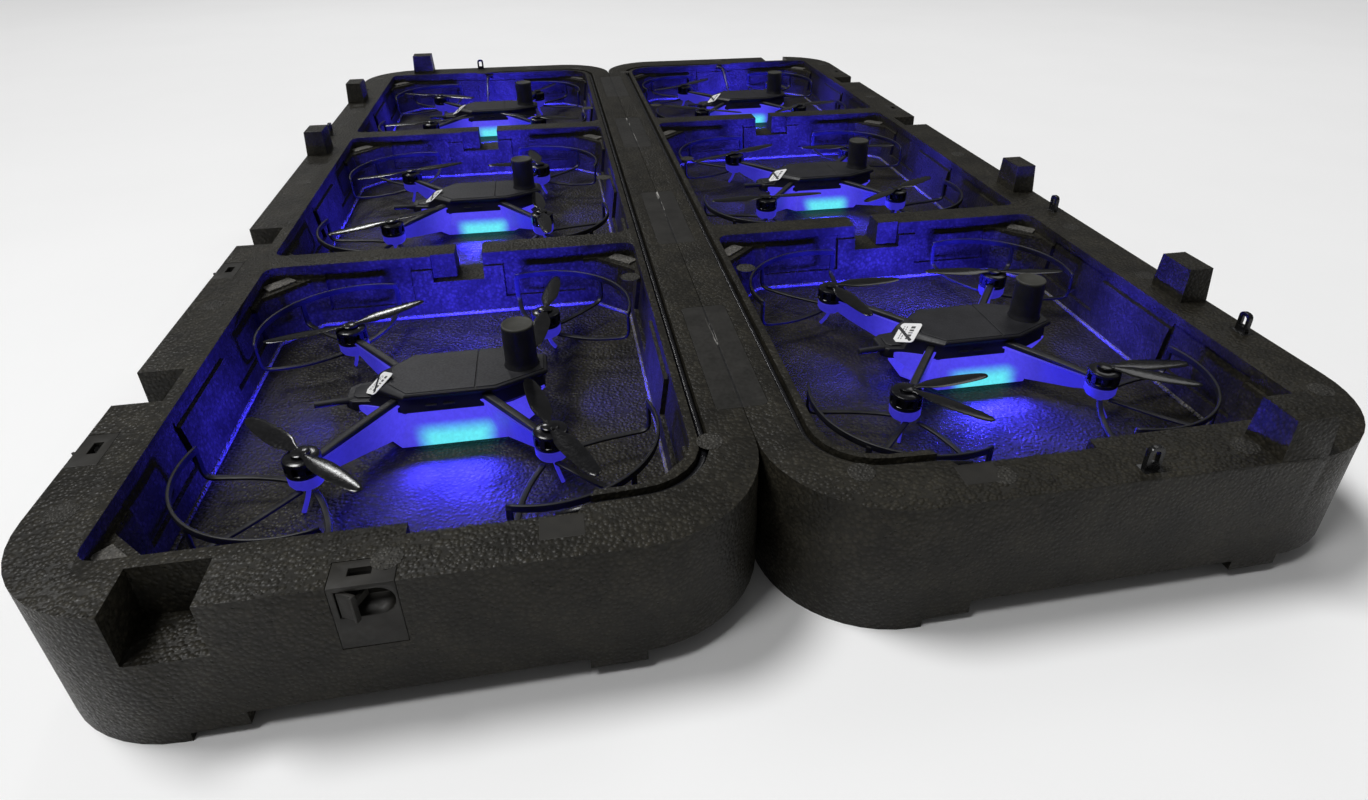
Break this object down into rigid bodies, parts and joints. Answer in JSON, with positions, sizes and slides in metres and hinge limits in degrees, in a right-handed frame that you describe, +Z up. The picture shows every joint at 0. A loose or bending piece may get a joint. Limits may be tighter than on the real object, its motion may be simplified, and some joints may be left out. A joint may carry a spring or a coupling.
{
  "type": "folding drone carrying case",
  "caption": "Two-tray folding foam carrying case, open flat, with pegs, latches, hinge plates and charging cables, holding small light show drones.",
  "frame": {"origin": "middle of the open case on the surface it lies on, under the line where the two trays meet", "axes": "+Z up, +Y along the case from its front end to its back end, +X across to the right tray"},
  "size_m": [0.9322, 1.4382, 0.138],
  "materials": {
    "foam": "dark grey expanded polypropylene bead foam, matt",
    "hinge_plate": "smooth dark grey moulded plastic with wear along the fold",
    "latch": "smooth dark grey moulded plastic, satin",
    "hook": "glossy black",
    "cable": "glossy black cable sheath",
    "drone_shell": "matt dark grey moulded shell",
    "propeller": "glossy black"
  },
  "bodies": {
    "left_half": {"left_tray": "foam", "hinge_leaf_left_1": "hinge_plate", "hinge_leaf_left_2": "hinge_plate", "hinge_leaf_left_3": "hinge_plate", "hinge_leaf_left_4": "hinge_plate", "latch_housing_left_front": "latch", "latch_housing_left_side_1": "latch", "latch_housing_left_side_2": "latch", "latch_hook_left_back": "hook", "latch_hook_left_side_1": "hook", "latch_hook_left_side_2": "hook", "left_cable": "cable", "drone_1_airframe": "drone_shell", "drone_2_airframe": "drone_shell", "drone_3_airframe": "drone_shell"},
    "right_half": {"right_tray": "foam", "hinge_leaf_right_1": "hinge_plate", "hinge_leaf_right_2": "hinge_plate", "hinge_leaf_right_3": "hinge_plate", "hinge_leaf_right_4": "hinge_plate", "latch_housing_right_back": "latch", "latch_housing_right_side_1": "latch", "latch_housing_right_side_2": "latch", "latch_hook_right_front": "hook", "latch_hook_right_side_1": "hook", "latch_hook_right_side_2": "hook", "right_cable": "cable", "drone_4_airframe": "drone_shell", "drone_5_airframe": "drone_shell", "drone_6_airframe": "drone_shell"},
    "latch_flap_left_front": {"latch_flap_left_front": "latch"},
    "latch_flap_left_side_1": {"latch_flap_left_side_1": "latch"},
    "latch_flap_left_side_2": {"latch_flap_left_side_2": "latch"},
    "latch_flap_right_back": {"latch_flap_right_back": "latch"},
    "latch_flap_right_side_1": {"latch_flap_right_side_1": "latch"},
    "latch_flap_right_side_2": {"latch_flap_right_side_2": "latch"},
    "drone_1_propeller_1": {"drone_1_propeller_1": "propeller"},
    "drone_1_propeller_2": {"drone_1_propeller_2": "propeller"},
    "drone_1_propeller_3": {"drone_1_propeller_3": "propeller"},
    "drone_1_propeller_4": {"drone_1_propeller_4": "propeller"},
    "drone_2_propeller_1": {"drone_2_propeller_1": "propeller"},
    "drone_2_propeller_2": {"drone_2_propeller_2": "propeller"},
    "drone_2_propeller_3": {"drone_2_propeller_3": "propeller"},
    "drone_2_propeller_4": {"drone_2_propeller_4": "propeller"},
    "drone_3_propeller_1": {"drone_3_propeller_1": "propeller"},
    "drone_3_propeller_2": {"drone_3_propeller_2": "propeller"},
    "drone_3_propeller_3": {"drone_3_propeller_3": "propeller"},
    "drone_3_propeller_4": {"drone_3_propeller_4": "propeller"},
    "drone_4_propeller_1": {"drone_4_propeller_1": "propeller"},
    "drone_4_propeller_2": {"drone_4_propeller_2": "propeller"},
    "drone_4_propeller_3": {"drone_4_propeller_3": "propeller"},
    "drone_4_propeller_4": {"drone_4_propeller_4": "propeller"},
    "drone_5_propeller_1": {"drone_5_propeller_1": "propeller"},
    "drone_5_propeller_2": {"drone_5_propeller_2": "propeller"},
    "drone_5_propeller_3": {"drone_5_propeller_3": "propeller"},
    "drone_5_propeller_4": {"drone_5_propeller_4": "propeller"},
    "drone_6_propeller_1": {"drone_6_propeller_1": "propeller"},
    "drone_6_propeller_2": {"drone_6_propeller_2": "propeller"},
    "drone_6_propeller_3": {"drone_6_propeller_3": "propeller"},
    "drone_6_propeller_4": {"drone_6_propeller_4": "propeller"}
  },
  "joints": [
    {"name": "case_fold", "type": "hinge", "parent": "left_half", "child": "right_half", "pos_m": [0, 0, 0.1063], "axis": [0, -1, 0], "range_deg": [0, 180]},
    {"name": "latch_flap_left_front_swing", "type": "hinge", "parent": "left_half", "child": "latch_flap_left_front", "pos_m": [-0.261, -0.7116, 0.0925], "axis": [0, 0, -1], "range_deg": [-28, 50]},
    {"name": "latch_flap_left_side_1_swing", "type": "hinge", "parent": "left_half", "child": "latch_flap_left_side_1", "pos_m": [-0.4586, -0.536, 0.0925], "axis": [0, 0, -1], "range_deg": [-28, 50]},
    {"name": "latch_flap_left_side_2_swing", "type": "hinge", "parent": "left_half", "child": "latch_flap_left_side_2", "pos_m": [-0.4586, -0.237, 0.0925], "axis": [0, 0, -1], "range_deg": [-28, 50]},
    {"name": "latch_flap_right_back_swing", "type": "hinge", "parent": "right_half", "child": "latch_flap_right_back", "pos_m": [0.261, 0.7116, 0.0925], "axis": [0, 0, -1], "range_deg": [-28, 50]},
    {"name": "latch_flap_right_side_1_swing", "type": "hinge", "parent": "right_half", "child": "latch_flap_right_side_1", "pos_m": [0.4586, 0.536, 0.0925], "axis": [0, 0, -1], "range_deg": [-28, 50]},
    {"name": "latch_flap_right_side_2_swing", "type": "hinge", "parent": "right_half", "child": "latch_flap_right_side_2", "pos_m": [0.4586, 0.237, 0.0925], "axis": [0, 0, -1], "range_deg": [-28, 50]},
    {"name": "drone_1_propeller_1_spin", "type": "hinge", "parent": "left_half", "child": "drone_1_propeller_1", "pos_m": [-0.318, -0.55583, 0.0886], "axis": [0, 0, 1], "continuous": true},
    {"name": "drone_1_propeller_2_spin", "type": "hinge", "parent": "left_half", "child": "drone_1_propeller_2", "pos_m": [-0.142, -0.55583, 0.0886], "axis": [0, 0, 1], "continuous": true},
    {"name": "drone_1_propeller_3_spin", "type": "hinge", "parent": "left_half", "child": "drone_1_propeller_3", "pos_m": [-0.318, -0.36183, 0.0886], "axis": [0, 0, 1], "continuous": true},
    {"name": "drone_1_propeller_4_spin", "type": "hinge", "parent": "left_half", "child": "drone_1_propeller_4", "pos_m": [-0.142, -0.36183, 0.0886], "axis": [0, 0, 1], "continuous": true},
    {"name": "drone_2_propeller_1_spin", "type": "hinge", "parent": "left_half", "child": "drone_2_propeller_1", "pos_m": [-0.318, -0.097, 0.0886], "axis": [0, 0, 1], "continuous": true},
    {"name": "drone_2_propeller_2_spin", "type": "hinge", "parent": "left_half", "child": "drone_2_propeller_2", "pos_m": [-0.142, -0.097, 0.0886], "axis": [0, 0, 1], "continuous": true},
    {"name": "drone_2_propeller_3_spin", "type": "hinge", "parent": "left_half", "child": "drone_2_propeller_3", "pos_m": [-0.318, 0.097, 0.0886], "axis": [0, 0, 1], "continuous": true},
    {"name": "drone_2_propeller_4_spin", "type": "hinge", "parent": "left_half", "child": "drone_2_propeller_4", "pos_m": [-0.142, 0.097, 0.0886], "axis": [0, 0, 1], "continuous": true},
    {"name": "drone_3_propeller_1_spin", "type": "hinge", "parent": "left_half", "child": "drone_3_propeller_1", "pos_m": [-0.318, 0.36183, 0.0886], "axis": [0, 0, 1], "continuous": true},
    {"name": "drone_3_propeller_2_spin", "type": "hinge", "parent": "left_half", "child": "drone_3_propeller_2", "pos_m": [-0.142, 0.36183, 0.0886], "axis": [0, 0, 1], "continuous": true},
    {"name": "drone_3_propeller_3_spin", "type": "hinge", "parent": "left_half", "child": "drone_3_propeller_3", "pos_m": [-0.318, 0.55583, 0.0886], "axis": [0, 0, 1], "continuous": true},
    {"name": "drone_3_propeller_4_spin", "type": "hinge", "parent": "left_half", "child": "drone_3_propeller_4", "pos_m": [-0.142, 0.55583, 0.0886], "axis": [0, 0, 1], "continuous": true},
    {"name": "drone_4_propeller_1_spin", "type": "hinge", "parent": "right_half", "child": "drone_4_propeller_1", "pos_m": [0.142, -0.55583, 0.0886], "axis": [0, 0, 1], "continuous": true},
    {"name": "drone_4_propeller_2_spin", "type": "hinge", "parent": "right_half", "child": "drone_4_propeller_2", "pos_m": [0.318, -0.55583, 0.0886], "axis": [0, 0, 1], "continuous": true},
    {"name": "drone_4_propeller_3_spin", "type": "hinge", "parent": "right_half", "child": "drone_4_propeller_3", "pos_m": [0.142, -0.36183, 0.0886], "axis": [0, 0, 1], "continuous": true},
    {"name": "drone_4_propeller_4_spin", "type": "hinge", "parent": "right_half", "child": "drone_4_propeller_4", "pos_m": [0.318, -0.36183, 0.0886], "axis": [0, 0, 1], "continuous": true},
    {"name": "drone_5_propeller_1_spin", "type": "hinge", "parent": "right_half", "child": "drone_5_propeller_1", "pos_m": [0.142, -0.097, 0.0886], "axis": [0, 0, 1], "continuous": true},
    {"name": "drone_5_propeller_2_spin", "type": "hinge", "parent": "right_half", "child": "drone_5_propeller_2", "pos_m": [0.318, -0.097, 0.0886], "axis": [0, 0, 1], "continuous": true},
    {"name": "drone_5_propeller_3_spin", "type": "hinge", "parent": "right_half", "child": "drone_5_propeller_3", "pos_m": [0.142, 0.097, 0.0886], "axis": [0, 0, 1], "continuous": true},
    {"name": "drone_5_propeller_4_spin", "type": "hinge", "parent": "right_half", "child": "drone_5_propeller_4", "pos_m": [0.318, 0.097, 0.0886], "axis": [0, 0, 1], "continuous": true},
    {"name": "drone_6_propeller_1_spin", "type": "hinge", "parent": "right_half", "child": "drone_6_propeller_1", "pos_m": [0.142, 0.36183, 0.0886], "axis": [0, 0, 1], "continuous": true},
    {"name": "drone_6_propeller_2_spin", "type": "hinge", "parent": "right_half", "child": "drone_6_propeller_2", "pos_m": [0.318, 0.36183, 0.0886], "axis": [0, 0, 1], "continuous": true},
    {"name": "drone_6_propeller_3_spin", "type": "hinge", "parent": "right_half", "child": "drone_6_propeller_3", "pos_m": [0.142, 0.55583, 0.0886], "axis": [0, 0, 1], "continuous": true},
    {"name": "drone_6_propeller_4_spin", "type": "hinge", "parent": "right_half", "child": "drone_6_propeller_4", "pos_m": [0.318, 0.55583, 0.0886], "axis": [0, 0, 1], "continuous": true}
  ]
}
